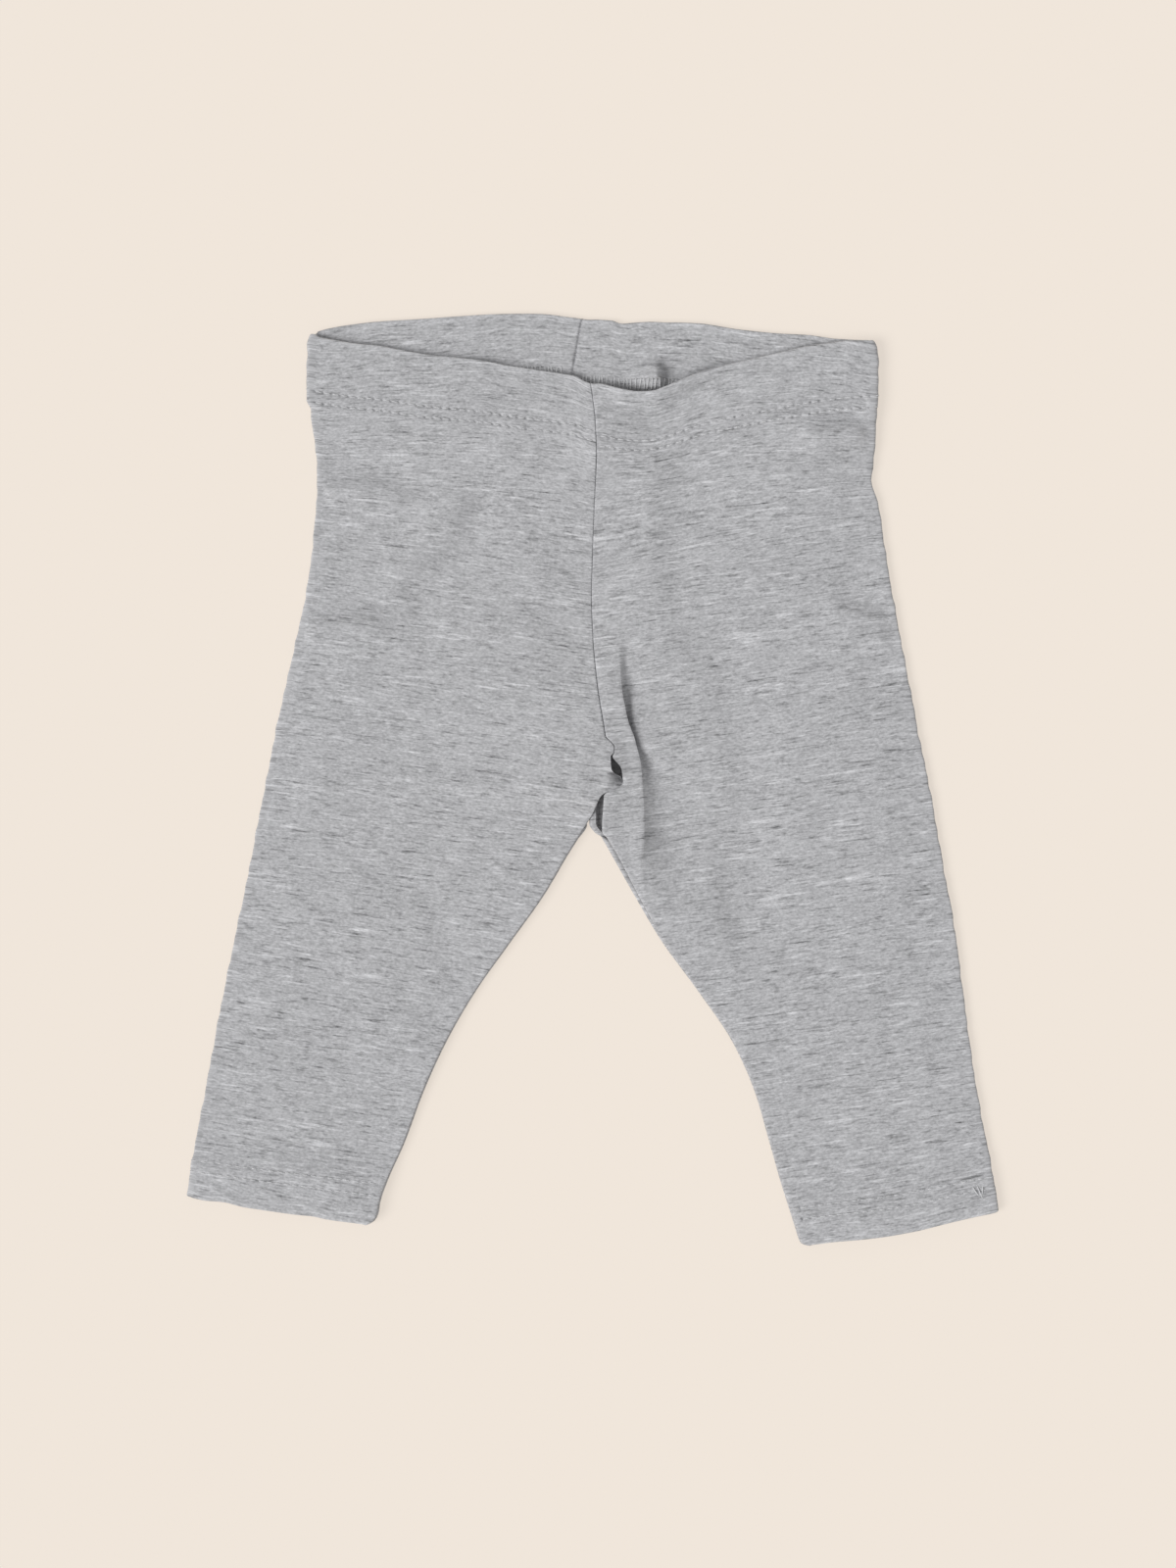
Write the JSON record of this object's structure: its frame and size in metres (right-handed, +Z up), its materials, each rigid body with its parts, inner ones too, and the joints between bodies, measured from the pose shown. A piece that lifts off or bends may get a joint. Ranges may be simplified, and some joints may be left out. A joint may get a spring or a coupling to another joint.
{
  "type": "baby leggings",
  "caption": "Pull-on jersey leggings laid flat, front up, with a turned elastic waistband, centre seams, inseams and turned-up hems.",
  "frame": {"origin": "middle of the bounding box, on the surface that the back lies on", "axes": "+X across the garment towards the wearer's left, +Y towards the waist, +Z up from the surface, out of the front"},
  "size_m": [0.2855, 0.3279, 0.0066],
  "materials": {
    "leg_jersey": "matt grey melange cotton jersey",
    "casing_jersey": "matt grey melange cotton jersey, turned over elastic",
    "grey_thread": "matt grey sewing thread"
  },
  "bodies": {
    "root": {"right_leg": "leg_jersey", "left_leg": "leg_jersey", "waistband_right": "casing_jersey", "waistband_left": "casing_jersey"}
  },
  "joints": []
}
